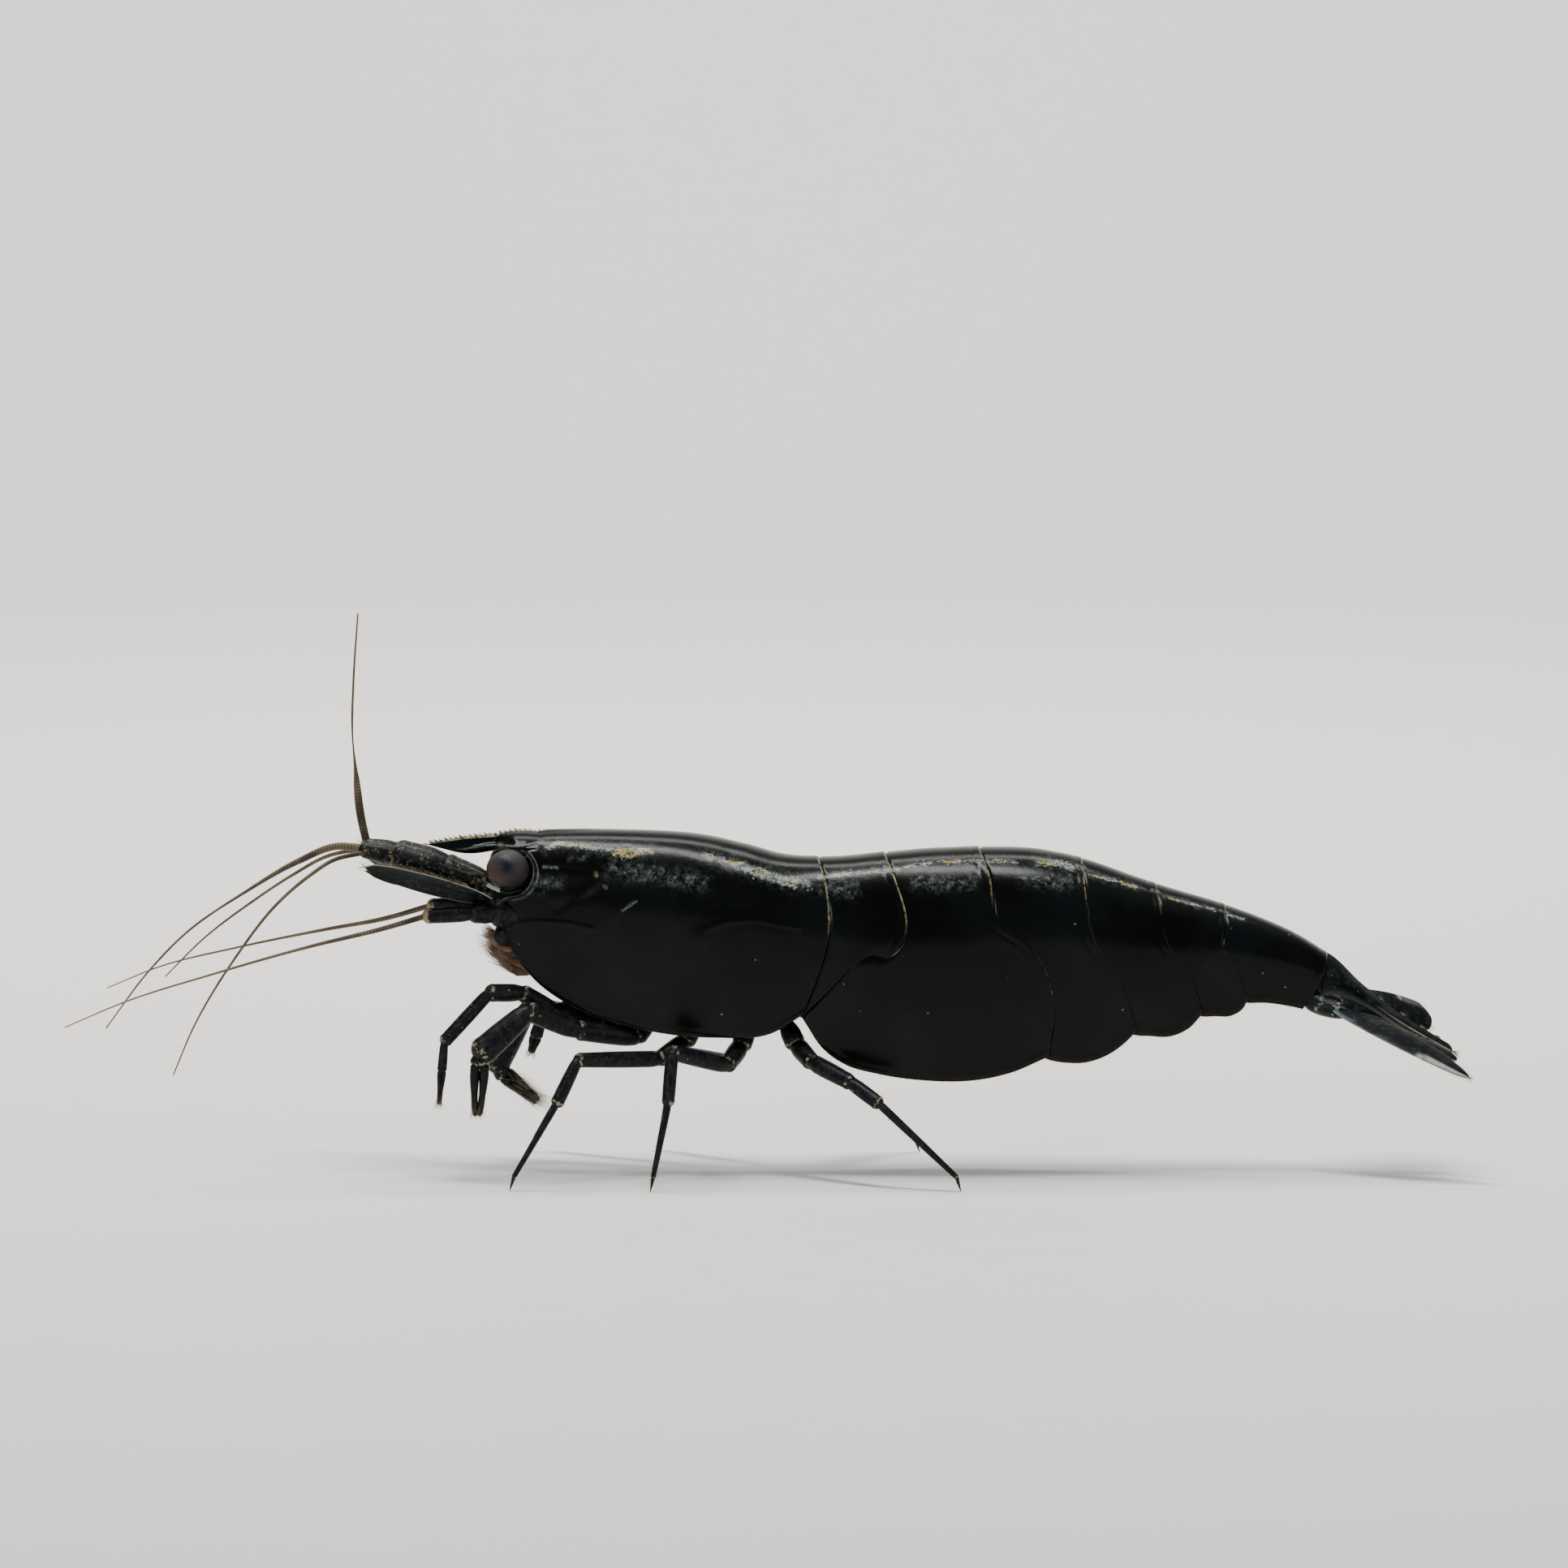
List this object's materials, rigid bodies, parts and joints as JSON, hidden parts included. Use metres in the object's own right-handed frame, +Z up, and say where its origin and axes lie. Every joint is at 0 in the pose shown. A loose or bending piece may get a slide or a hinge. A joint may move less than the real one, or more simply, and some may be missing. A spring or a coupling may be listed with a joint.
{
  "type": "aquarium shrimp",
  "caption": "Life-size still model of a black dwarf aquarium shrimp, standing on its walking legs with claws and feelers held forward; a decorative or museum display animal.",
  "frame": {"origin": "on the floor at the middle of the bounding box, midway between the feeler tips and the tail fan's tip, under the first tail segment", "axes": "-X towards the head, +X towards the tail, +Z up, the animal's left side towards -Y"},
  "size_m": [0.04, 0.0142, 0.0161],
  "materials": {
    "shell": "smooth wet black shell with a blue-green cast, gold joint lines and pale flecks",
    "flesh": "black limb skin, slightly rougher, with pale yellow spots at the joints",
    "clear_flesh": "thin brownish translucent skin",
    "feeler": "fine olive-brown ringed whip",
    "eye": "mauve-grey domed eye with a dark centre, softly shining"
  },
  "bodies": {
    "root": {"abdomen_1": "shell", "abdomen_2": "shell", "abdomen_3": "shell", "abdomen_4": "shell", "abdomen_5": "shell", "abdomen_6": "shell", "antenna_base_left": "flesh", "antenna_base_right": "flesh", "antenna_scale_left": "shell", "antenna_scale_right": "shell", "antenna_whip_left": "feeler", "antenna_whip_right": "feeler", "antennule_base_left": "flesh", "antennule_base_right": "flesh", "antennule_inner_left": "feeler", "antennule_inner_right": "feeler", "antennule_outer_left": "feeler", "antennule_outer_right": "feeler", "carapace": "shell", "eye_left": "eye", "eye_right": "eye", "eyestalk_left": "flesh", "eyestalk_right": "flesh", "head": "flesh", "leg_1_left": "flesh", "leg_1_right": "flesh", "leg_2_left": "flesh", "leg_2_right": "flesh", "leg_3_left": "flesh", "leg_3_right": "flesh", "leg_4_left": "flesh", "leg_4_right": "flesh", "leg_5_left": "flesh", "leg_5_right": "flesh", "maxilliped_left": "clear_flesh", "maxilliped_right": "clear_flesh", "rostrum": "shell", "swimmeret_1_left": "clear_flesh", "swimmeret_1_right": "clear_flesh", "swimmeret_2_left": "clear_flesh", "swimmeret_2_right": "clear_flesh", "swimmeret_3_left": "clear_flesh", "swimmeret_3_right": "clear_flesh", "swimmeret_4_left": "clear_flesh", "swimmeret_4_right": "clear_flesh", "swimmeret_5_left": "clear_flesh", "swimmeret_5_right": "clear_flesh", "telson": "shell", "thorax": "flesh", "uropod_base_left": "shell", "uropod_base_right": "shell", "uropod_inner_left": "shell", "uropod_inner_right": "shell", "uropod_outer_left": "shell", "uropod_outer_right": "shell"}
  },
  "joints": []
}
